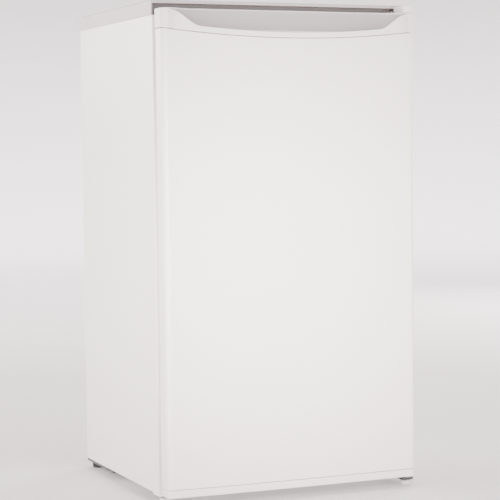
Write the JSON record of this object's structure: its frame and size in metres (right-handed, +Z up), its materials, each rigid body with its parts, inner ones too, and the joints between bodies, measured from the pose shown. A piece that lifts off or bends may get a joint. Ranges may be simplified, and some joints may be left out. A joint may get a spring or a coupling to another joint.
{
  "type": "mini fridge",
  "caption": "Compact white under-counter refrigerator with a bowed right-hinged door, scooped top grip, inner freezer box, glass shelves, crisper and door bins.",
  "frame": {"origin": "on the floor, under the middle of the outline", "axes": "+Z up, the door faces -Y, the door's hinge is on the +X side"},
  "size_m": [0.467, 0.449, 0.838],
  "materials": {
    "white_paint": "smooth satin enamel",
    "white_plastic": "satin moulded",
    "worktop_plastic": "fine grain",
    "liner_plastic": "glossy moulded",
    "foam": "rigid foam",
    "galvanised": "galvanised sheet",
    "black_paint": "black enamel",
    "black_plastic": "moulded",
    "gasket_rubber": "soft matt",
    "black_rubber": "matt",
    "copper": "drawn tube",
    "aluminium": "rolled sheet",
    "shelf_glass": "toughened glass",
    "clear_plastic": "clear moulded",
    "core_board": "chipboard",
    "zinc": "zinc plated",
    "grey_plastic": "moulded",
    "ferrite": "bonded magnet strip",
    "lamp_glass": "frosted bulb"
  },
  "bodies": {
    "cabinet": {"cabinet_wrapper": "white_paint", "base_pan": "white_paint", "machine_bay_panel": "galvanised", "back_panel": "galvanised", "cabinet_foam": "foam", "inner_liner": "liner_plastic", "worktop": "worktop_plastic", "worktop_core": "core_board", "compressor_base_plate": "black_paint", "compressor_grommets": "black_rubber", "compressor_studs": "zinc", "compressor": "black_paint", "relay_box": "black_plastic", "condenser_coil": "black_paint", "condenser_wires": "black_paint", "condenser_brackets": "black_plastic", "wall_spacers": "black_plastic", "filter_drier": "copper", "discharge_tube": "copper", "suction_tube": "copper", "capillary_tube": "copper", "drain_tube": "grey_plastic", "evaporation_tray": "black_plastic", "cord_gland": "black_plastic", "evaporator_box": "aluminium", "freezer_frame": "white_plastic", "thermostat_housing": "white_plastic", "thermostat_body": "galvanised", "lamp": "lamp_glass", "lamp_cover": "clear_plastic", "crisper_cover": "shelf_glass", "top_hinge_bracket": "zinc", "top_hinge_cover": "white_plastic", "bottom_hinge_bracket": "black_paint", "bottom_hinge_pin": "zinc", "hinge_washer": "white_plastic", "cover_and_hinge_screws": "zinc", "rear_feet": "black_rubber"},
    "door": {"door_skin": "white_paint", "door_top_cap": "white_plastic", "door_bottom_cap": "white_plastic", "hinge_bushings": "grey_plastic", "door_foam": "foam", "door_liner": "liner_plastic", "gasket_magnets": "ferrite", "door_gasket": "gasket_rubber"},
    "bottle_bin": {"bottle_door_bin": "clear_plastic"},
    "middle_bin": {"middle_door_bin": "clear_plastic"},
    "upper_bin": {"upper_door_bin": "clear_plastic"},
    "flap": {"freezer_flap": "clear_plastic"},
    "dial": {"thermostat_dial": "white_plastic"},
    "plunger": {"light_switch_plunger": "white_plastic"},
    "upper_shelf": {"upper_shelf_glass": "shelf_glass", "upper_shelf_trims": "white_plastic"},
    "lower_shelf": {"lower_shelf_glass": "shelf_glass", "lower_shelf_trims": "white_plastic"},
    "crisper": {"crisper_drawer": "clear_plastic"},
    "drip_tray_body": {"drip_tray": "clear_plastic"},
    "left_foot": {"front_left_foot": "grey_plastic"},
    "right_foot": {"front_right_foot": "grey_plastic"}
  },
  "joints": [
    {"name": "door_swing", "type": "hinge", "parent": "cabinet", "child": "door", "pos_m": [0.222, -0.199, 0.42], "axis": [0, 0, 1], "range_deg": [0, 120]},
    {"name": "flap_swing", "type": "hinge", "parent": "cabinet", "child": "flap", "pos_m": [-0.039, -0.1045, 0.752], "axis": [-1, 0, 0], "range_deg": [0, 86.5]},
    {"name": "dial_turn", "type": "hinge", "parent": "cabinet", "child": "dial", "pos_m": [0.14, -0.095, 0.732], "axis": [0, -1, 0], "range_deg": [0, 270]},
    {"name": "switch_travel", "type": "slide", "parent": "cabinet", "child": "plunger", "axis": [0, -1, 0], "range_m": [0, 0.006]},
    {"name": "upper_shelf_slide", "type": "slide", "parent": "cabinet", "child": "upper_shelf", "axis": [0, -1, 0], "range_m": [0, 0.1385]},
    {"name": "lower_shelf_slide", "type": "slide", "parent": "cabinet", "child": "lower_shelf", "axis": [0, -1, 0], "range_m": [0, 0.1385]},
    {"name": "crisper_slide", "type": "slide", "parent": "cabinet", "child": "crisper", "axis": [0, -1, 0], "range_m": [0, 0.1385]},
    {"name": "drip_tray_slide", "type": "slide", "parent": "cabinet", "child": "drip_tray_body", "axis": [0, -1, 0], "range_m": [0, 0.1385]},
    {"name": "bottle_bin_lift", "type": "slide", "parent": "door", "child": "bottle_bin", "axis": [0, 0, 1], "range_m": [0, 0.02]},
    {"name": "middle_bin_lift", "type": "slide", "parent": "door", "child": "middle_bin", "axis": [0, 0, 1], "range_m": [0, 0.02]},
    {"name": "upper_bin_lift", "type": "slide", "parent": "door", "child": "upper_bin", "axis": [0, 0, 1], "range_m": [0, 0.02]},
    {"name": "left_foot_screw", "type": "slide", "parent": "cabinet", "child": "left_foot", "axis": [0, 0, -1], "range_m": [0, 0.008]},
    {"name": "right_foot_screw", "type": "slide", "parent": "cabinet", "child": "right_foot", "axis": [0, 0, -1], "range_m": [0, 0.004]}
  ],
  "couplings": [
    {"joint": "flap_swing", "follows": "door_swing", "ratio": 0.72},
    {"joint": "switch_travel", "follows": "door_swing", "m_per_rad": 0.00286},
    {"joint": "upper_shelf_slide", "follows": "door_swing", "m_per_rad": 0.066},
    {"joint": "lower_shelf_slide", "follows": "door_swing", "m_per_rad": 0.066},
    {"joint": "crisper_slide", "follows": "door_swing", "m_per_rad": 0.066},
    {"joint": "drip_tray_slide", "follows": "door_swing", "m_per_rad": 0.066}
  ]
}
